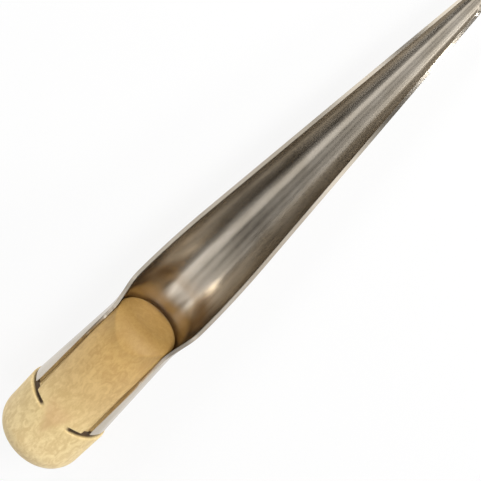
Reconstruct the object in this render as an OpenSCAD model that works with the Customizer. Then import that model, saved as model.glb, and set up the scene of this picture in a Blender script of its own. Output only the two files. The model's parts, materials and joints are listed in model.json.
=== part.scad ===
// Hollow splicing spike: a formed sheet-steel spike, open along its top, on a turned wooden handle.
// It lies on its belly: +X points to the tip, +Z up out of the open groove, and z = 0 is the table.

/* [Steel spike] */
// Length of the formed sheet, from its rear edge to the tip
spike_len = 178; // [150:1:260]
// Thickness of the sheet
sheet_t = 1; // [0.8:0.1:1.4]
// Outside radius of the socket at its rear edge
socket_rear_r = 12.35; // [11.6:0.05:14]
// Outside radius of the socket at its mouth
socket_mouth_r = 10.95; // [10.6:0.05:11.5]
// Length of the tapered socket
socket_len = 30; // [26:1:40]
// Gap between the socket's two long edges
socket_gap = 18.6; // [16:0.1:19]
// Length over which the mouth flares out into the open groove
flare_len = 14.5; // [10:0.5:20]
// Outside width of the groove at its widest place
groove_w = 24.5; // [23.5:0.1:27]
// Length over which the groove bends from parallel into its straight taper
taper_bend_len = 28; // [10:1:40]
// Length of the level belly ahead of the flare, on which the tool lies
belly_len = 10; // [2:1:20]
// Length over which the belly bends up into the straight keel
keel_bend_len = 16; // [10:1:40]
// Height of the straight walls above the half round, at the widest place
wall_h = 1.7; // [0.5:0.1:3]

/* [Tip] */
// Outside width of the groove where the rounding of the tip starts
tip_w = 6.7; // [4:0.1:9]
// Length of the rounded tip
tip_round_len = 4; // [2:0.5:8]
// Angle that the sheet wraps to each side of its keel at the tip
tip_wrap = 56; // [40:1:75]

/* [Handle] */
// Length of the bare butt, from its end to the shoulder
butt_len = 19.6; // [16:0.2:30]
// Radius of the butt at its shoulder
butt_r = 12.8; // [12.6:0.05:15]
// Radius of the butt behind its rounded rim
butt_rear_r = 12.45; // [12:0.05:14]
// Radius of the rounding round the butt's end
butt_round = 8.1; // [4:0.1:9]
// Rounding on the shoulder's edge
shoulder_round = 0.5; // [0.2:0.1:1]
// Length of the neck ahead of the shoulder
neck_len = 36; // [28:1:38]
// Play between the neck and the steel
neck_play = 0.1; // [0.08:0.01:0.2]
// Rounding round the neck's front end
nose_round = 1.5; // [1:0.5:4]
// Rounding of the neck's top down into its front end
nose_top_r = 7.5; // [3:0.5:9]
// How far below the axis the centre of that rounding lies, so that it fades out down the sides
nose_drop = 8; // [0:0.5:12]

/* [Raised strip and shoulder slot] */
// Width of the raised strip at the shoulder
strip_rear_w = 16.8; // [14:0.1:17]
// Length over which the strip widens until it fills the gap
strip_taper_len = 21; // [12:1:28]
// Play between the strip and the long steel edges, where the strip fills the gap
strip_play = 0.12; // [0.05:0.01:0.3]
// Width of the slot between the shoulder and the sheet's rear edge
slot_w = 1.4; // [0.8:0.1:2.4]
// Width of the land on top that the slot leaves uncut
slot_land_w = 7.8; // [4:0.1:11]
// Radius in which the slot runs out beside the land
slot_end_r = 6; // [5.6:0.1:11]

/* [Fixing pins] */
// Diameter of the two pins
pin_d = 2.4; // [1.6:0.1:3]
// Length of the pins
pin_len = 12; // [8:0.5:16]
// Play between a pin and its holes
pin_play = 0.05; // [0.03:0.01:0.1]
// Distance from the sheet's rear edge to the rear pin
pin_rear_x = 7; // [4:0.5:10]
// Distance between the two pins
pin_pitch = 16; // [10:0.5:20]

/* [Hidden] */
$fn = 96;
eps = 0.01;

// Sheet and handle share one axis. Places along it count from the sheet's rear edge
flare_end = socket_len + flare_len;
belly_end = flare_end + belly_len;
groove_half = groove_w / 2;
tip_half = tip_w / 2;
tip_start = spike_len - tip_round_len;
taper_slope = (groove_half - tip_half) / (tip_start - flare_end - taper_bend_len / 2);
keel_slope = (groove_half - tip_half) / (tip_start - belly_end - keel_bend_len / 2);
neck_slope = (socket_rear_r - socket_mouth_r) / socket_len;

// Inside of the steel and outside of the wood at the rear edge of the sheet
neck_rear_r = socket_rear_r - sheet_t - neck_play;
neck_front_r = neck_rear_r - (neck_len - slot_w) * neck_slope;
neck_back_r = neck_rear_r + slot_w * neck_slope;
strip_lean = atan((butt_r - neck_front_r) / neck_len);

// Stations along the sheet and points across it
station_step = 3;
socket_stations = 8;
flare_stations = 10;
tip_stations = 9;
half_steps = 13;
last_tip_angle = 82;

function mix(a, b, t) = a + (b - a) * t;
function clamp01(t) = min(max(t, 0), 1);
function smooth(t) = let(c = clamp01(t)) c * c * (3 - 2 * c);

// How far the mouth has opened (0 in the socket, 1 in the groove), and how far along the groove it is
function opened(s) = smooth((s - socket_len) / flare_len);
function along_groove(s) = clamp01((s - flare_end) / (tip_start - flare_end));

// From half the groove's width, a parabola that runs into a straight slope
function falling(s, start, bend, slope) =
    let(t = max(s - start, 0))
    groove_half - slope * (t < bend ? t * t / (2 * bend) : t - bend / 2);

// Half width of the sheet, and how far its keel lies below the axis
function socket_r_at(s) = socket_rear_r - s * neck_slope;
function half_width_at(s) =
    mix(socket_r_at(s), falling(s, flare_end, taper_bend_len, taper_slope), opened(s));
function keel_at(s) =
    mix(socket_r_at(s), falling(s, belly_end, keel_bend_len, keel_slope), opened(s));

// Angle that the sheet turns through from its keel to its edge, and the straight wall beyond it
function socket_wrap_at(s) = 180 - asin(socket_gap / 2 / (socket_r_at(min(s, socket_len)) - sheet_t));
function groove_wrap_at(s) = mix(90, tip_wrap, pow(along_groove(s), 2));
function wrap_at(s) = mix(socket_wrap_at(s), groove_wrap_at(s), opened(s));
function wall_at(s) = wall_h * opened(s) * pow(1 - along_groove(s), 2);

// Outside radius of the round part, so that the sheet is as wide as its outline says
function bend_r_at(s) =
    let(wrap = wrap_at(s))
    wrap >= 90 ? half_width_at(s) : (half_width_at(s) - wall_at(s) * cos(wrap)) / sin(wrap);

// The tip's outline is a quarter ellipse to each side, cut out of the same round bottom
function tip_share(s) = s <= tip_start ? 1 : sqrt(1 - pow((s - tip_start) / tip_round_len, 2));
function cut_wrap_at(s) =
    s <= tip_start ? wrap_at(s) : asin(half_width_at(tip_start) * tip_share(s) / bend_r_at(s));

// Point on a section, a given length round from the keel and a given depth into the sheet: [y, height]
function on_section(length, depth, r, wrap) =
    let(angle = min(length / r * 180 / PI, wrap), wall = max(length - r * wrap * PI / 180, 0))
    [(r - depth) * sin(angle) + wall * cos(angle), r - (r - depth) * cos(angle) + wall * sin(angle)];

function placed(s, p) = [s, p[0], p[1] - keel_at(s)];

// Half a section from its keel to its edge. A narrow flat lies along the keel, which the tool lies on
function half_section(s, depth) =
    let(r = bend_r_at(s), wrap = cut_wrap_at(s), round_len = r * wrap * PI / 180,
        total = round_len + (s <= tip_start ? wall_at(s) : 0))
    [for (i = [0:half_steps]) on_section(total * (2 * i + 1) / (2 * half_steps + 1), depth, r, wrap)];

function ring(s) =
    let(out = half_section(s, 0), inn = half_section(s, sheet_t))
    [
        for (i = [half_steps:-1:0]) placed(s, [-out[i][0], out[i][1]]),
        for (i = [0:half_steps]) placed(s, out[i]),
        for (i = [half_steps:-1:0]) placed(s, inn[i]),
        for (i = [0:half_steps]) placed(s, [-inn[i][0], inn[i][1]])
    ];

groove_steps = ceil((tip_start - flare_end) / station_step);
stations = [
    for (i = [0:socket_stations - 1]) socket_len * i / socket_stations,
    for (i = [0:flare_stations - 1]) socket_len + flare_len * i / flare_stations,
    for (i = [0:groove_steps - 1]) mix(flare_end, tip_start, i / groove_steps),
    for (i = [0:tip_stations]) tip_start + tip_round_len * sin(last_tip_angle * i / tip_stations)
];
sheet_end = stations[len(stations) - 1];

// Lie of the whole tool, resting on its shoulder and on the start of its keel's bend
butt_flat_r = butt_rear_r - butt_round;
butt_back = butt_len + slot_w;
shoulder_back = slot_w + shoulder_round;
belly_reach = belly_end + shoulder_back;
rest_on_bend =
    sqrt(pow(belly_reach, 2) + 2 * (butt_r - groove_half) * keel_bend_len / keel_slope) - belly_reach;
lie = atan(keel_slope * rest_on_bend / keel_bend_len);
lift = butt_r * cos(lie) - shoulder_back * sin(lie);
x_min = -butt_back * cos(lie) - butt_flat_r * sin(lie) - butt_round * (1 - cos(lie));
x_max = sheet_end * cos(lie) - (keel_at(sheet_end) - sheet_t) * sin(lie);

// A closed skin through the rings, with two triangles to each cell and strips across both ends
module skin(rings) {
    n = len(rings[0]);
    last = len(rings) - 1;
    side = [
        for (k = [0:last - 1]) for (i = [0:n - 1])
            let(a = k * n + i, b = k * n + (i + 1) % n)
            each [[a, b, b + n], [a, b + n, a + n]]
    ];
    cap = [for (i = [0:n / 2 - 2]) each [[i, n - 1 - i, n - 2 - i], [i, n - 2 - i, i + 1]]];
    polyhedron(
        points = [for (r = rings) each r],
        faces = concat(side, cap, [for (f = cap) [for (j = [2:-1:0]) f[j] + last * n]])
    );
}

// Places what is made about the axis (x along it from the sheet's rear edge) as the tool lies
module laid() {
    translate([-(x_min + x_max) / 2, 0, lift]) rotate([0, lie, 0]) children();
}

// Places what is made along +Z from the butt's end, with -X upwards, on the axis
module on_handle_axis() {
    laid() rotate([0, 90, 0]) translate([0, 0, -butt_back]) children();
}

// A hole or pin square to the axis, from below, at a distance from the sheet's rear edge
module from_below(x, from_r, length, d) {
    on_handle_axis() translate([from_r, 0, butt_back + x]) rotate([0, -90, 0])
        cylinder(d = d, h = length, $fn = 48);
}

module pin_holes(play) {
    for (x = [pin_rear_x, pin_rear_x + pin_pitch])
        from_below(x, socket_r_at(x) + 1, pin_len + 1.5, pin_d + 2 * play);
}

module spike() {
    color("lightsteelblue") difference() {
        laid() skin([for (s = stations) ring(s)]);
        pin_holes(pin_play);
    }
}

// Outline of the butt, to be turned about its axis: radius across, distance from the end up
module butt_outline() {
    difference() {
        polygon([
            [0, 0], [butt_rear_r, 0], [butt_rear_r, butt_round], [butt_r, butt_len - shoulder_round],
            [butt_r - shoulder_round, butt_len], [0, butt_len]
        ]);
        translate([butt_flat_r, -eps]) difference() {
            square(butt_round + eps);
            translate([0, butt_round + eps]) circle(butt_round);
        }
    }
}

// Outline of a tapered neck with a rounded front end, to be turned about its axis
module neck_outline(back_r) {
    front = butt_len + neck_len;
    difference() {
        polygon([[0, butt_len - eps], [back_r, butt_len - eps], [neck_front_r, front], [0, front]]);
        translate([neck_front_r - nose_round, front - nose_round]) difference() {
            square(nose_round + 1);
            circle(nose_round);
        }
    }
}

// What the raised strip keeps: its plan, widening until it fills the gap between the steel edges
module strip_plan() {
    full = socket_gap / 2 - strip_play;
    taper_end = butt_back + strip_taper_len;
    translate([-2 * butt_r, 0, 0]) rotate([0, 90, 0]) linear_extrude(2 * butt_r)
        polygon([
            [-butt_len + eps, strip_rear_w / 2], [-taper_end, full], [-butt_len - neck_len, full],
            [-butt_len - neck_len, -full], [-taper_end, -full], [-butt_len + eps, -strip_rear_w / 2]
        ]);
}

// Cuts the neck's top off to a rounding that starts tangent to the strip and ends in the front end
module nose_cut() {
    bend_r = neck_front_r + nose_top_r * (tan(strip_lean) - 1 / cos(strip_lean)) + nose_drop;
    translate([nose_drop, 0, butt_len + neck_len - nose_top_r]) difference() {
        translate([0, 0, nose_top_r * sin(strip_lean)])
            cylinder(r = butt_r + nose_drop, h = nose_top_r + 1);
        rotate_extrude() {
            square([bend_r, nose_top_r + 2]);
            translate([bend_r, 0]) intersection() {
                circle(nose_top_r);
                square(nose_top_r);
            }
        }
    }
}

// The slot behind the sheet leaves the neck and runs out steeply on top, beside the land
module slot_cut() {
    half_land = slot_land_w / 2;
    rise = sqrt(pow(butt_r, 2) - pow(half_land, 2)) - sqrt(pow(slot_end_r, 2) - pow(half_land, 2));
    translate([0, 0, butt_len]) difference() {
        cylinder(r = butt_r + 1, h = slot_w);
        translate([0, 0, -1]) cylinder(r = neck_back_r, h = slot_w + 2);
        translate([-rise, 0, -1]) cylinder(r = slot_end_r, h = slot_w + 2);
    }
}

module handle() {
    color("burlywood") difference() {
        on_handle_axis() difference() {
            union() {
                rotate_extrude() butt_outline();
                rotate_extrude() neck_outline(neck_back_r);
                intersection() {
                    rotate_extrude() neck_outline(butt_r);
                    strip_plan();
                }
            }
            slot_cut();
            nose_cut();
        }
        pin_holes(pin_play);
    }
}

module pin(x) {
    color("silver") from_below(x, socket_r_at(x), pin_len, pin_d);
}

module pin_rear() {
    pin(pin_rear_x);
}

module pin_front() {
    pin(pin_rear_x + pin_pitch);
}

spike();
handle();
pin_rear();
pin_front();
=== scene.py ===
# Hollow splicing spike: formed sheet steel on a turned wooden handle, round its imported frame
import json
import math

import bmesh
import bpy
from mathutils import Matrix, Vector


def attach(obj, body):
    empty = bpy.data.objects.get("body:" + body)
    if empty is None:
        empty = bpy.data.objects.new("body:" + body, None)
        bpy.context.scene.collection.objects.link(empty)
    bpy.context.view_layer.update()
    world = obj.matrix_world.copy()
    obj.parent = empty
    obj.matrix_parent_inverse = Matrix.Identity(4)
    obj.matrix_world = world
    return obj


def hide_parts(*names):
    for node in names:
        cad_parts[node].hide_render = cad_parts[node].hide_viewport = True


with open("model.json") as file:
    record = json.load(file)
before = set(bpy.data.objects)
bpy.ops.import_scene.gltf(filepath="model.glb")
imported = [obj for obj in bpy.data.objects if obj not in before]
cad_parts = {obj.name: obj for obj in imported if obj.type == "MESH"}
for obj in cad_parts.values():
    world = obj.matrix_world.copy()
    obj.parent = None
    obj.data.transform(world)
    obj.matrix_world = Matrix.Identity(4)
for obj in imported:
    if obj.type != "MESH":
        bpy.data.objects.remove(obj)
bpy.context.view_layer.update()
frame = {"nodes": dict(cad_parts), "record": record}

MM = 0.001

# Camera, as the photograph was taken: leaning to the tip's end from square above the handle's axis
VIEW_LEAN = math.radians(31.8)
TOOL_SLANT = math.radians(44.6)
FRAME_WIDTH = 131.8 * MM
CAMERA_DISTANCE = 2.5
SENSOR_WIDTH = 36.0
IMAGE_SIZE = 481
BUTT_PIXEL = (26.5, 443.1)

# Formed sheet, as in the frame. The pieces are drawn in millimetres and scaled as they are placed
SHEET = 1.0
SPIKE_LENGTH = 178
SOCKET_REAR_RADIUS = 12.35
SOCKET_MOUTH_RADIUS = 10.95
SOCKET_LENGTH = 30
SOCKET_GAP = 18.6
FLARE_LENGTH = 14.5
GROOVE_HALF = 12.25
TAPER_BEND = 28
BELLY_LENGTH = 10
KEEL_BEND = 16
WALL_HEIGHT = 1.7
TIP_HALF = 3.35
TIP_ROUND = 4
TIP_WRAP = math.radians(56)
LAST_TIP_ANGLE = math.radians(82)
EDGE_WALL = 0.7
EDGE_ROUND = 0.16
SHARP_EDGE = math.radians(50)
SMOOTH_BELOW = math.radians(35)
ARC_STEPS = 12

# Turned handle, as in the frame
BUTT_LENGTH = 19.6
BUTT_RADIUS = 12.8
BUTT_REAR_RADIUS = 12.45
BUTT_ROUND = 8.1
SHOULDER_ROUND = 0.5
NECK_LENGTH = 36
NECK_PLAY = 0.1
NOSE_ROUND = 1.5
NOSE_TOP_RADIUS = 7.5
NOSE_DROP = 8
STRIP_REAR_WIDTH = 16.8
STRIP_TAPER = 21
STRIP_PLAY = 0.12
SLOT_WIDTH = 1.4
SLOT_LAND = 7.8
SLOT_END_RADIUS = 6
WOOD_GRID = 0.26
TURN_STEPS = 120
RIM_STEPS = 14
NOSE_STEPS = 8
NOSE_TOP_STEPS = 24
# How far neck and strip start inside the butt, and how far a cutter stands past what it cuts
NECK_ROOT = 0.5
STRIP_ROOT = 0.4
CLEAR = 1

# Pins, as in the frame, and the fine ring of play that shows round them
PIN_RADIUS = 1.2
PIN_PLAY = 0.05
PIN_PLACES = (7, 23)

# Colours, and sizes of marks along and across the tool in millimetres

def tone(*levels):
    """A colour given as a picture's levels, 0 to 255, as the linear one that shaders use."""
    return (*(((level / 255 + 0.055) / 1.055) ** 2.4 for level in levels), 1)


STEEL_LIGHT = (0.62, 0.56, 0.475, 1)
STEEL_DARK = (0.53, 0.47, 0.385, 1)
STEEL_ROUGHNESS = 0.23
STEEL_SHEEN = 0.08
STEEL_STREAKS = (60, 0.8, 0.8)
STEEL_CLOUDS = (15, 5, 5)
# The cut edge's near-white colour is partly a painted highlight
EDGE_COLOUR_AND_HIGHLIGHT = (0.97, 0.96, 0.93, 1)
EDGE_MARKS = (0.6, 0.3, 0.3)
PIN_MARKS = (3, 0.12, 0.12)
# Wood colours by their distance from the butt end, darker towards the front end partly as the
# wood's own tone and partly as painted shade
WOOD_TONE_AND_SHADE_ALONG = (
    (0, tone(250, 228, 178)),
    (18, tone(240, 216, 160)),
    (32, tone(214, 184, 128)),
    (47, tone(206, 170, 106)),
    (55.6, tone(170, 136, 76)),
)
WOOD_SHADE = (0.80, 0.74, 0.66, 1)
WOOD_WEDGE_TONE = tone(205, 165, 118)
# Painted shade inside the slot
WOOD_SLOT_SHADE = tone(56, 34, 17)
# Painted shade at the foot of the front end
WOOD_END_SHADE = tone(70, 44, 22)
WOOD_MOTTLE = (4.2, 2.6, 2.6)
WOOD_FIGURE = (1.7, 0.7, 0.7)
WOOD_PORES = (1.1, 0.16, 0.16)
# Where the darker wedge on the wood, the painted shade in the slot and the painted shade at the
# foot of the front end begin and end: along the axis, up from it, and out from it in the slot
WEDGE_START = 11
WEDGE_SLOPE = 0.42
WEDGE_FADE = (21, 27)
WEDGE_UP = (4, 9)
SLOT_SHADE_OUT = (11.8, 12.7)
END_SHADE_BACK = 2
END_SHADE_FRONT = 0.3
END_SHADE_UP = (-10, -6)

# Studio
FLOOR_COLOUR = (0.9, 0.9, 0.9, 1)
FLOOR_WHITE = 0.85
FLOOR_SIZE = 6
WORLD_COLOUR = (0.016, 0.012, 0.008, 1)
LAMP_AIM = Vector((0.02, 0, 0.01))
LAMP_DISTANCE = 0.8
# Soft boxes: degrees up and round from the butt's side, width and height in degrees, and brightness
SOFT_BOXES = (
    (25, -72, 11, 10, 17.9),
    (38, -151, 29, 26, 12.6),
    (25, -83, 11, 10, 9.9),
    (38, 122, 29, 26, 6.0),
    (15, 180, 29, 22, 5.0),
    (20, -19, 21, 20, 2.3),
    (10, 75, 50, 20, 1.57),
    (25, 53, 11, 30, 1.08),
    (55, -26, 36, 30, 0.87),
    (65, -56, 56, 30, 0.66),
    (40, 53, 13, 20, 0.62),
    (65, 19, 56, 30, 0.52),
    (45, 57, 57, 10, 0.49),
    (45, 64, 50, 30, 0.46),
    (60, 26, 42, 20, 0.38),
    (50, -40, 24, 20, 0.19),
    (35, -50, 50, 10, 0.19),
)

FLARE_END = SOCKET_LENGTH + FLARE_LENGTH
TIP_START = SPIKE_LENGTH - TIP_ROUND
NECK_SLOPE = (SOCKET_REAR_RADIUS - SOCKET_MOUTH_RADIUS) / SOCKET_LENGTH
NECK_REAR_RADIUS = SOCKET_REAR_RADIUS - SHEET - NECK_PLAY
NECK_BACK_RADIUS = NECK_REAR_RADIUS + SLOT_WIDTH * NECK_SLOPE
NECK_FRONT_RADIUS = NECK_REAR_RADIUS - (NECK_LENGTH - SLOT_WIDTH) * NECK_SLOPE
STRIP_LEAN = math.atan((BUTT_RADIUS - NECK_FRONT_RADIUS) / NECK_LENGTH)
BUTT_BACK = BUTT_LENGTH + SLOT_WIDTH
NECK_FRONT = BUTT_LENGTH + NECK_LENGTH

# The one axis of handle and sheet, from the frame
butt_end = next(m for m in frame["record"]["mounts"] if m["name"] == "butt_end")
AXIS_START = Vector(butt_end["pos_m"])
AXIS_TILT = math.atan2(butt_end["axis"][2], -butt_end["axis"][0])
AXIS_TURN = Matrix.Rotation(AXIS_TILT, 4, "Y")
AXIS_PLACE = Matrix.Translation(AXIS_START) @ AXIS_TURN @ Matrix.Scale(MM, 4)


# Selecting and finishing

def only(piece):
    """Makes piece the one selected, active object."""
    bpy.ops.object.select_all(action="DESELECT")
    piece.select_set(True)
    bpy.context.view_layer.objects.active = piece


def named(name):
    """Names the active object and its mesh."""
    piece = bpy.context.active_object
    piece.name = name
    piece.data.name = name
    return piece


def edit():
    bpy.ops.object.mode_set(mode="EDIT")


def leave_edit():
    bpy.ops.object.mode_set(mode="OBJECT")


def select_points(wanted):
    """Selects the points in edit mode that wanted says yes to, and the edges between them."""
    bpy.ops.mesh.select_mode(type="VERT")
    bpy.ops.mesh.select_all(action="DESELECT")
    shape = bmesh.from_edit_mesh(bpy.context.active_object.data)
    for point in shape.verts:
        point.select = wanted(point.co)
    shape.select_flush(True)
    bmesh.update_edit_mesh(bpy.context.active_object.data)


def finish_with(piece, kind, **settings):
    """Adds a modifier and applies it."""
    only(piece)
    modifier = piece.modifiers.new(kind.title(), kind)
    for key, value in settings.items():
        setattr(modifier, key, value)
    bpy.ops.object.modifier_apply(modifier=modifier.name)


def combine(piece, other, operation, solver="MANIFOLD"):
    """Joins, cuts or trims piece with another solid, which is used up."""
    finish_with(piece, "BOOLEAN", operation=operation, object=other, solver=solver)
    bpy.data.objects.remove(other)


def place(piece, matrix):
    """Moves a piece that was made at the origin to where it belongs, into its mesh."""
    piece.matrix_world = matrix
    only(piece)
    bpy.ops.object.transform_apply(location=True, rotation=True, scale=True)


def dress(piece, slot, nodes, *finishes):
    """Attaches piece to the root body, hides the CAD nodes that it stands for and gives it its
    finishes; slot is not used.
    """
    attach(piece, "root")
    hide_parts(*nodes)
    piece.data.materials.clear()
    for finish in finishes:
        piece.data.materials.append(finish)


# Formed sheet

def smooth(t):
    t = min(max(t, 0), 1)
    return t * t * (3 - 2 * t)


def mix(a, b, t):
    return a + (b - a) * t


def opened(s):
    """0 in the socket, 1 in the open groove, at a distance from the sheet's rear edge."""
    return smooth((s - SOCKET_LENGTH) / FLARE_LENGTH)


def along_groove(s):
    return min(max((s - FLARE_END) / (TIP_START - FLARE_END), 0), 1)


def socket_radius(s):
    return SOCKET_REAR_RADIUS - s * NECK_SLOPE


def taper(s, start, bend):
    """Runs from the groove's half width through a parabola into a straight line to the tip's."""
    slope = (GROOVE_HALF - TIP_HALF) / (TIP_START - start - bend / 2)
    t = max(s - start, 0)
    return GROOVE_HALF - slope * (t * t / (2 * bend) if t < bend else t - bend / 2)


def half_width(s):
    """Outside half width of the sheet."""
    return mix(socket_radius(s), taper(s, FLARE_END, TAPER_BEND), opened(s))


def keel(s):
    """The sheet's lowest point, which lies below the axis."""
    groove = taper(s, FLARE_END + BELLY_LENGTH, KEEL_BEND)
    return Vector((s, 0, -mix(socket_radius(s), groove, opened(s))))


def section(s):
    """Radius, wrap and straight edge of the sheet's section."""
    inside = socket_radius(min(s, SOCKET_LENGTH)) - SHEET
    socket_wrap = math.pi - math.asin(SOCKET_GAP / 2 / inside)
    groove_wrap = mix(math.pi / 2, TIP_WRAP, along_groove(s) ** 2)
    wrap = mix(socket_wrap, groove_wrap, opened(s))
    wall = WALL_HEIGHT * opened(s) * (1 - along_groove(s)) ** 2
    radius = half_width(s)
    if wrap < math.pi / 2:
        radius = (radius - wall * math.cos(wrap)) / math.sin(wrap)
    if s > TIP_START:
        share = math.sqrt(1 - ((s - TIP_START) / TIP_ROUND) ** 2)
        wrap = math.asin(half_width(TIP_START) * share / radius)
    edge = min(EDGE_WALL, radius * wrap / 4)
    return radius, wrap - max(edge - wall, 0) / radius, max(wall, edge)


def stations():
    """Distances from the sheet's rear edge at which its section is drawn."""
    socket = [SOCKET_LENGTH * i / 6 for i in range(6)]
    flare = [SOCKET_LENGTH + FLARE_LENGTH * i / 7 for i in range(7)]
    groove = [mix(FLARE_END, TIP_START, i / 20) for i in range(20)]
    tip = [TIP_START + TIP_ROUND * math.sin(LAST_TIP_ANGLE * i / 6) for i in range(7)]
    return socket + flare + groove + tip


def draw_section(s):
    """Spins one point round from the keel and draws it on into the straight edge."""
    radius, wrap, wall = section(s)
    centre = keel(s) + Vector((0, 0, radius))
    bpy.ops.mesh.select_all(action="DESELECT")
    bpy.ops.mesh.primitive_plane_add(size=0.1, location=keel(s))
    bpy.ops.mesh.merge(type="CENTER")
    bpy.ops.mesh.spin(steps=ARC_STEPS, angle=-wrap, center=centre, axis=(1, 0, 0))
    edge = (0, wall * math.cos(wrap), wall * math.sin(wrap))
    bpy.ops.mesh.extrude_region_move(TRANSFORM_OT_translate={"value": edge})


def pin_cutter(s):
    """A rod up through the sheet, square to the axis, for a pin's hole."""
    radius = PIN_RADIUS + PIN_PLAY
    below = (s, 0, -SOCKET_REAR_RADIUS)
    bpy.ops.mesh.primitive_cylinder_add(vertices=48, radius=radius, depth=6, location=below)
    rod = named("pin_hole")
    place(rod, rod.matrix_world.copy())
    return rod


def formed_sheet():
    """One half of the sheet's outside, mirrored, smoothed and given its thickness inwards."""
    bpy.ops.mesh.primitive_plane_add(size=0.1)
    sheet = named("formed_sheet")
    edit()
    bpy.ops.mesh.delete(type="VERT")
    drawn = stations()
    for s in drawn:
        draw_section(s)
    for pair in zip(drawn, drawn[1:]):
        select_points(lambda co: any(abs(co.x - s) < 0.01 for s in pair))
        bpy.ops.mesh.bridge_edge_loops()
    bpy.ops.mesh.select_all(action="SELECT")
    bpy.ops.mesh.normals_make_consistent(inside=False)
    leave_edit()
    lowest = min(sheet.data.polygons, key=lambda face: abs(face.normal.y))
    if lowest.normal.z > 0:
        sheet.data.flip_normals()
    finish_with(sheet, "MIRROR", use_axis=(False, True, False), use_clip=True, merge_threshold=0.01)
    finish_with(sheet, "SUBSURF", levels=2, render_levels=2)
    inwards = {"offset": -1, "use_even_offset": True, "material_offset_rim": 1}
    finish_with(sheet, "SOLIDIFY", thickness=SHEET, **inwards)
    for x in PIN_PLACES:
        combine(sheet, pin_cutter(x), "DIFFERENCE", "EXACT")
    sharp = {"limit_method": "ANGLE", "angle_limit": SHARP_EDGE}
    finish_with(sheet, "BEVEL", width=EDGE_ROUND, segments=2, **sharp)
    place(sheet, AXIS_PLACE @ Matrix.Translation((BUTT_BACK, 0, 0)))
    only(sheet)
    bpy.ops.object.shade_smooth_by_angle(angle=SMOOTH_BELOW)
    finish_with(sheet, "WEIGHTED_NORMAL", keep_sharp=True)
    return sheet


# Turned handle, made along +Z with -X upwards, then laid on the axis

def turned(name, outline):
    """A solid of revolution: a round end face, extruded and scaled along its outline."""
    (start, radius), rest = outline[0], outline[1:]
    bpy.ops.mesh.primitive_circle_add(
        vertices=TURN_STEPS, radius=radius, fill_type="NGON", location=(0, 0, start)
    )
    piece = named(name)
    place(piece, piece.matrix_world.copy())
    edit()
    bpy.ops.mesh.select_all(action="SELECT")
    for at, new_radius in rest:
        bpy.ops.mesh.extrude_region_move(TRANSFORM_OT_translate={"value": (0, 0, at - start)})
        grow = new_radius / radius
        bpy.ops.transform.resize(value=(grow, grow, 1), center_override=(0, 0, at))
        start, radius = at, new_radius
    bpy.ops.mesh.select_all(action="SELECT")
    bpy.ops.mesh.normals_make_consistent(inside=False)
    leave_edit()
    return piece


def butt_outline():
    """Small flat end, rounded rim, slightly swelling side and soft shoulder."""
    flat = BUTT_REAR_RADIUS - BUTT_ROUND
    rim = []
    for i in range(RIM_STEPS + 1):
        turn = math.pi / 2 * i / RIM_STEPS
        rim.append((BUTT_ROUND * (1 - math.cos(turn)), flat + BUTT_ROUND * math.sin(turn)))
    shoulder = [
        (BUTT_LENGTH - SHOULDER_ROUND, BUTT_RADIUS),
        (BUTT_LENGTH - SHOULDER_ROUND * 0.3, BUTT_RADIUS - SHOULDER_ROUND * 0.3),
        (BUTT_LENGTH, BUTT_RADIUS - SHOULDER_ROUND),
    ]
    return rim + shoulder


def quarter_round(end, radius, bend, steps):
    """Points of an outline that rounds off into the front end."""
    outline = []
    for i in range(steps + 1):
        turn = math.pi / 2 * i / steps
        outline.append((end - bend * (1 - math.sin(turn)), radius - bend * (1 - math.cos(turn))))
    return outline


def neck_outline(back_radius):
    """Taper from the shoulder to a rounded front end."""
    front = quarter_round(NECK_FRONT, NECK_FRONT_RADIUS, NOSE_ROUND, NOSE_STEPS)
    return [(BUTT_LENGTH - NECK_ROOT, back_radius)] + front


def block(name, low, high):
    """A box between two corners."""
    bpy.ops.mesh.primitive_cube_add(size=1)
    piece = named(name)
    middle = (Vector(low) + Vector(high)) / 2
    size = Vector(high) - Vector(low)
    place(piece, Matrix.Translation(middle) @ Matrix.Diagonal((*size, 1)))
    return piece


def strip_wedge():
    """What the raised strip keeps: narrow at the shoulder, then wide enough to fill the gap."""
    full = SOCKET_GAP / 2 - STRIP_PLAY
    taper_end = BUTT_BACK + STRIP_TAPER
    low = (-2 * BUTT_RADIUS, -full, BUTT_LENGTH - STRIP_ROOT)
    wedge = block("strip_wedge", low, (0, full, taper_end))
    edit()
    select_points(lambda co: co.z < BUTT_LENGTH)
    narrow = STRIP_REAR_WIDTH / 2 / full
    bpy.ops.transform.resize(value=(1, narrow, 1), center_override=(0, 0, BUTT_LENGTH))
    select_points(lambda co: co.z > BUTT_BACK)
    ahead = (0, 0, NECK_FRONT + CLEAR - taper_end)
    bpy.ops.mesh.extrude_region_move(TRANSFORM_OT_translate={"value": ahead})
    leave_edit()
    return wedge


def nose_cutter():
    """What is rounded off the neck's top, about a line below the axis so that the sides stay."""
    start = NECK_FRONT - NOSE_TOP_RADIUS * (1 - math.sin(STRIP_LEAN))
    ends = (start, NECK_FRONT + CLEAR)
    cutter = turned("nose_cutter", [(end, 2 * BUTT_RADIUS) for end in ends])
    tangent = NOSE_TOP_RADIUS * (1 + math.tan(STRIP_LEAN) - 1 / math.cos(STRIP_LEAN))
    top = NECK_FRONT_RADIUS + tangent + NOSE_DROP
    rounding = quarter_round(NECK_FRONT, top, NOSE_TOP_RADIUS, NOSE_TOP_STEPS)
    form = turned("nose_form", rounding + [(NECK_FRONT + 2 * CLEAR, top - NOSE_TOP_RADIUS)])
    combine(cutter, form, "DIFFERENCE")
    place(cutter, Matrix.Translation((NOSE_DROP, 0, 0)))
    return cutter


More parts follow.
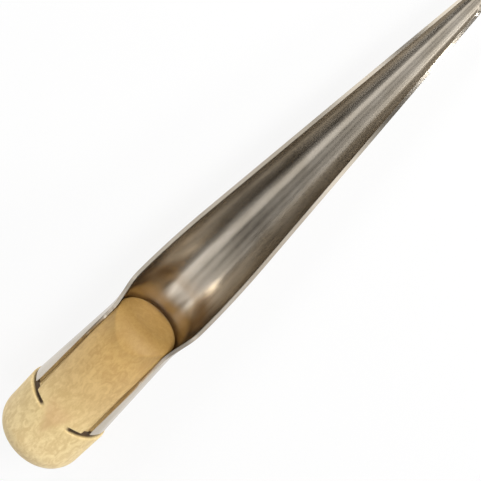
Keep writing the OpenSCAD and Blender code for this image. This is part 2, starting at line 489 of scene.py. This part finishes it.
def slot_cutter():
    """A ring beside the shoulder that leaves the neck and runs out steeply beside the land."""
    ends = (BUTT_LENGTH, BUTT_BACK)
    ring = turned("slot_cutter", [(end, BUTT_RADIUS + CLEAR) for end in ends])
    half_land = SLOT_LAND / 2
    rise = math.sqrt(BUTT_RADIUS**2 - half_land**2) - math.sqrt(SLOT_END_RADIUS**2 - half_land**2)
    cores = (("neck_core", 0, NECK_BACK_RADIUS), ("land_core", rise, SLOT_END_RADIUS))
    for name, up, radius in cores:
        core = turned(name, [(ends[0] - CLEAR, radius), (ends[1] + CLEAR, radius)])
        place(core, Matrix.Translation((-up, 0, 0)))
        combine(ring, core, "DIFFERENCE")
    return ring


def turned_handle():
    """Butt, neck and raised strip in one, rounded at its front end and slotted at its shoulder."""
    handle = turned("turned_handle", butt_outline())
    strip = turned("raised_strip", neck_outline(BUTT_RADIUS))
    combine(strip, strip_wedge(), "INTERSECT")
    combine(handle, turned("neck", neck_outline(NECK_BACK_RADIUS)), "UNION")
    combine(handle, strip, "UNION")
    combine(handle, nose_cutter(), "DIFFERENCE")
    combine(handle, slot_cutter(), "DIFFERENCE")
    finish_with(handle, "REMESH", mode="VOXEL", voxel_size=WOOD_GRID)
    finish_with(handle, "SMOOTH", factor=0.5, iterations=5)
    place(handle, AXIS_PLACE @ Matrix.Rotation(math.pi / 2, 4, "Y"))
    only(handle)
    bpy.ops.object.shade_smooth()
    return handle


# Shader nodes

class Signal:
    """A node's output, in expressions that add their Math nodes."""

    def __init__(self, nodes, socket):
        self.nodes = nodes
        self.socket = socket

    def beside(self, output):
        """Another output of the same node."""
        return Signal(self.nodes, self.socket.node.outputs[output])

    def __add__(self, other):
        return self.nodes.math("ADD", self, other)

    def __sub__(self, other):
        return self.nodes.math("SUBTRACT", self, other)

    def __rsub__(self, other):
        return self.nodes.math("SUBTRACT", other, self)

    def __mul__(self, other):
        return self.nodes.math("MULTIPLY", self, other)

    def __abs__(self):
        return self.nodes.math("ABSOLUTE", self)

    __radd__ = __add__
    __rmul__ = __mul__


class Nodes:
    """The nodes of a material or of the world."""

    def __init__(self, owner):
        owner.use_nodes = True
        self.tree = owner.node_tree
        self.tree.nodes.clear()

    def add(self, kind, settings, sockets, output=0):
        """Adds a node with its settings or a ramp's stops, and its sockets' values or links."""
        node = self.tree.nodes.new("ShaderNode" + kind)
        for name, value in settings.items():
            if name != "stops":
                setattr(node, name, value)
        for i, (position, colour) in enumerate(settings.get("stops", [])):
            stop = node.color_ramp.elements[i] if i < 2 else node.color_ramp.elements.new(position)
            stop.position = position
            stop.color = colour
        for name, value in sockets.items():
            if isinstance(value, Signal):
                self.tree.links.new(value.socket, node.inputs[name])
            else:
                node.inputs[name].default_value = value
        return Signal(self, node.outputs[output] if node.outputs else None)

    def math(self, operation, *values):
        return self.add("Math", {"operation": operation}, dict(enumerate(values)))

    def mixed(self, share, low, high, blend="MIX"):
        """A colour between low and high, or one blended with the other."""
        settings = {"data_type": "RGBA", "blend_type": blend}
        return self.add("Mix", settings, {0: share, 6: low, 7: high}, output=2)

    def rise(self, value, low, high):
        """0 below low, 1 above high, and smooth between."""
        sockets = {0: value, 1: low, 2: high}
        return self.add("MapRange", {"interpolation_type": "SMOOTHSTEP"}, sockets)

    def grid(self, size, start=(0, 0, 0), tilt=0):
        """Places on the piece, from start along the tilted axis, in steps of size millimetres."""
        spot = self.add("TexCoord", {}, {}, output=3)
        steps = [MM * step for step in size]
        sockets = {"Vector": spot, "Location": start, "Rotation": (0, tilt, 0), "Scale": steps}
        return self.add("Mapping", {"vector_type": "TEXTURE"}, sockets)

    def noise(self, grid, detail=2, roughness=0.5, distortion=0):
        sockets = {"Vector": grid, "Scale": 1, "Detail": detail}
        sockets.update({"Roughness": roughness, "Distortion": distortion})
        return self.add("TexNoise", {}, sockets)

    def surface(self, colour, roughness, metallic, height, depth, **uniform):
        """The shader and its output, with height as a bump that is depth millimetres deep."""
        bump = self.add("Bump", {}, {"Height": height, "Distance": depth * MM, "Strength": 1})
        sockets = {"Base Color": colour, "Roughness": roughness}
        sockets.update({"Metallic": metallic, "Normal": bump})
        sockets.update({name.replace("_", " "): value for name, value in uniform.items()})
        shader = self.add("BsdfPrincipled", {}, sockets)
        self.add("OutputMaterial", {}, {"Surface": shader})


# Finishes

def satin_steel():
    """Stainless sheet, drawn lengthwise: long fine streaks and soft clouds in its sheen."""
    material = bpy.data.materials.new("satin_steel")
    nodes = Nodes(material)
    streaks = nodes.noise(nodes.grid(STEEL_STREAKS), detail=3)
    clouds = nodes.noise(nodes.grid(STEEL_CLOUDS))
    colour = nodes.mixed(nodes.rise(clouds, 0.35, 0.65), STEEL_DARK, STEEL_LIGHT)
    sheen = STEEL_ROUGHNESS + (streaks - 0.5) * STEEL_SHEEN + (clouds - 0.5) * STEEL_SHEEN
    nodes.surface(colour, sheen, 1, streaks, 0.006)
    return material


def sheared_edge_and_highlight():
    """The sheet's cut and filed edge, rougher than its faces, near white partly as a painted
    highlight.
    """
    material = bpy.data.materials.new("sheared_edge_and_highlight")
    nodes = Nodes(material)
    file_marks = nodes.noise(nodes.grid(EDGE_MARKS), detail=3)
    nodes.surface(EDGE_COLOUR_AND_HIGHLIGHT, 0.45 + (file_marks - 0.5) * 0.2, 0.1, file_marks, 0.01)
    return material


def turned_beech():
    """Pale fine-grained wood, sanded bare, browner towards its front end partly as painted shade,
    with painted shade in its slot and at the foot of its front end.
    """
    material = bpy.data.materials.new("turned_beech")
    nodes = Nodes(material)
    along = nodes.add("SeparateXYZ", {}, {0: nodes.grid((1, 1, 1), AXIS_START, AXIS_TILT)})
    across = along.beside(1)
    up = along.beside(2)
    mottle = nodes.noise(nodes.grid(WOOD_MOTTLE, AXIS_START, AXIS_TILT), 3, 0.55, 1.4)
    figure = nodes.noise(nodes.grid(WOOD_FIGURE, AXIS_START, AXIS_TILT), 4, 0.6, 0.8)
    pores = nodes.noise(nodes.grid(WOOD_PORES, AXIS_START, AXIS_TILT))
    # Colour along the axis, darker towards the front end partly as painted shade
    stops = [(place / NECK_FRONT, colour) for place, colour in WOOD_TONE_AND_SHADE_ALONG]
    shift = (mottle - 0.5) * 6
    base = nodes.add("ValToRGB", {"stops": stops}, {0: (along + shift) * (1 / NECK_FRONT)})
    shade = nodes.rise(mottle * 0.62 + figure * 0.38, 0.36, 0.66)
    light = nodes.mixed(shade, WOOD_SHADE, (1, 1, 1, 1))
    figured = nodes.mixed(1, base, light, "MULTIPLY")
    # A darker, browner wedge on top of the wood beside the land
    wedge = nodes.rise((along - WEDGE_START) * WEDGE_SLOPE - abs(across) + shift * 0.4, 0, 2.5)
    ahead = nodes.rise(along + shift * 0.5, *WEDGE_FADE)
    darker_wedge = wedge * (1 - ahead) * nodes.rise(up, *WEDGE_UP)
    wedge_toned = nodes.mixed(darker_wedge * 0.55, figured, WOOD_WEDGE_TONE)
    # Painted shade deep inside the slot beside the shoulder
    past_shoulder = nodes.rise(along, BUTT_LENGTH - 0.1, BUTT_LENGTH + 0.1)
    slot = past_shoulder * (1 - nodes.rise(along, BUTT_BACK, BUTT_BACK + 0.2))
    deep = 1 - nodes.rise(nodes.math("POWER", across * across + up * up, 0.5), *SLOT_SHADE_OUT)
    slotted = nodes.mixed(slot * deep * 0.95, wedge_toned, WOOD_SLOT_SHADE)
    # Painted shade at the foot of the front end, where the wood meets the sheet
    foot = nodes.rise(along, NECK_FRONT - END_SHADE_BACK, NECK_FRONT - END_SHADE_FRONT)
    foot_shade = foot * (1 - nodes.rise(up, *END_SHADE_UP))
    colour = nodes.mixed(foot_shade * 0.9, slotted, WOOD_END_SHADE)
    grain = figure * 0.5 + pores * 0.5
    nodes.surface(colour, 0.52 + (figure - 0.5) * 0.2, 0, grain, 0.05, Specular_IOR_Level=0.35)
    return material


def pin_steel():
    """Steel of the pins, ground flush across the sheet's underside."""
    material = bpy.data.materials.new("pin_steel")
    nodes = Nodes(material)
    marks = nodes.noise(nodes.grid(PIN_MARKS), detail=3)
    colour = nodes.mixed(marks, STEEL_DARK, STEEL_LIGHT)
    nodes.surface(colour, 0.3 + (marks - 0.5) * 0.2, 1, marks, 0.01)
    return material


def pale_floor():
    """Plain pale floor, near white to the camera and in reflections, with the tool's shadow."""
    material = bpy.data.materials.new("pale_floor")
    nodes = Nodes(material)
    seen = nodes.add("LightPath", {}, {})
    glossy = seen.beside("Is Glossy Ray")
    shown = nodes.math("MINIMUM", seen + glossy + seen.beside("Is Transmission Ray"), 1)
    plain = nodes.add("BsdfDiffuse", {}, {"Color": FLOOR_COLOUR})
    white = nodes.add("Emission", {}, {"Color": (1, 1, 1, 1), "Strength": 1})
    both = nodes.add("MixShader", {}, {0: shown * FLOOR_WHITE, 1: plain, 2: white})
    nodes.add("OutputMaterial", {}, {"Surface": both})
    return material


# Studio

def soft_box(up, turn, width, height, radiance):
    """A lamp that faces the tool, placed and sized by the angles under which the tool sees it."""
    up, turn = math.radians(up), math.radians(turn)
    back = Vector((-math.cos(up) * math.cos(turn), math.cos(up) * math.sin(turn), math.sin(up)))
    side = Vector((math.sin(turn), math.cos(turn), 0))
    light = bpy.data.lights.new("soft_box", "AREA")
    light.shape = "RECTANGLE"
    light.size = 2 * LAMP_DISTANCE * math.tan(math.radians(width / 2)) * math.cos(up)
    light.size_y = 2 * LAMP_DISTANCE * math.tan(math.radians(height / 2))
    light.energy = radiance * math.pi * light.size * light.size_y
    facing = Matrix((side, back.cross(side), back)).transposed().to_4x4()
    box = bpy.data.objects.new("soft_box", light)
    box.matrix_world = Matrix.Translation(LAMP_AIM + LAMP_DISTANCE * back) @ facing
    bpy.context.scene.collection.objects.link(box)


def studio_world():
    """Dim, slightly warm surroundings."""
    world = bpy.data.worlds.new("studio")
    bpy.context.scene.world = world
    nodes = Nodes(world)
    sky = nodes.add("Background", {}, {"Color": WORLD_COLOUR, "Strength": 1})
    nodes.add("OutputWorld", {}, {"Surface": sky})


def studio_floor():
    bpy.ops.object.select_all(action="DESELECT")
    bpy.ops.mesh.primitive_plane_add(size=FLOOR_SIZE)
    floor = named("floor")
    floor.data.materials.append(pale_floor())


def studio_camera():
    """Looks along the photograph's line of sight and puts the butt end's centre on its pixel."""
    lean = VIEW_LEAN + AXIS_TILT
    into = Vector((-math.sin(lean), 0, -math.cos(lean)))
    along = Vector((math.cos(lean), 0, -math.sin(lean)))
    across = Vector((0, -1, 0))
    right = math.cos(TOOL_SLANT) * along + math.sin(TOOL_SLANT) * across
    up = math.sin(TOOL_SLANT) * along - math.cos(TOOL_SLANT) * across
    pixel = FRAME_WIDTH / IMAGE_SIZE
    middle = (IMAGE_SIZE - 1) / 2
    offset = pixel * ((middle - BUTT_PIXEL[0]) * right - (middle - BUTT_PIXEL[1]) * up)
    data = bpy.data.cameras.new("camera")
    data.sensor_width = SENSOR_WIDTH
    data.lens = SENSOR_WIDTH * CAMERA_DISTANCE / FRAME_WIDTH
    data.clip_end = 4 * CAMERA_DISTANCE
    camera = bpy.data.objects.new("camera", data)
    turn = Matrix((right, up, -into)).transposed()
    spot = AXIS_START + offset - into * CAMERA_DISTANCE
    camera.matrix_world = Matrix.Translation(spot) @ turn.to_4x4()
    bpy.context.scene.collection.objects.link(camera)
    bpy.context.scene.camera = camera


# The tool, dressed

studio_camera()
sheet = formed_sheet()
dress(sheet, "steel_sheet", ("spike",), satin_steel(), sheared_edge_and_highlight())
handle = turned_handle()
dress(handle, "turned_wood", ("handle",), turned_beech())
pin_finish = pin_steel()
for name in ("pin_rear", "pin_front"):
    pin = frame["nodes"][name]
    pin.data.materials.clear()
    pin.data.materials.append(pin_finish)

studio_world()
studio_floor()
for box in SOFT_BOXES:
    soft_box(*box)

bpy.context.scene.view_settings.view_transform = "Standard"
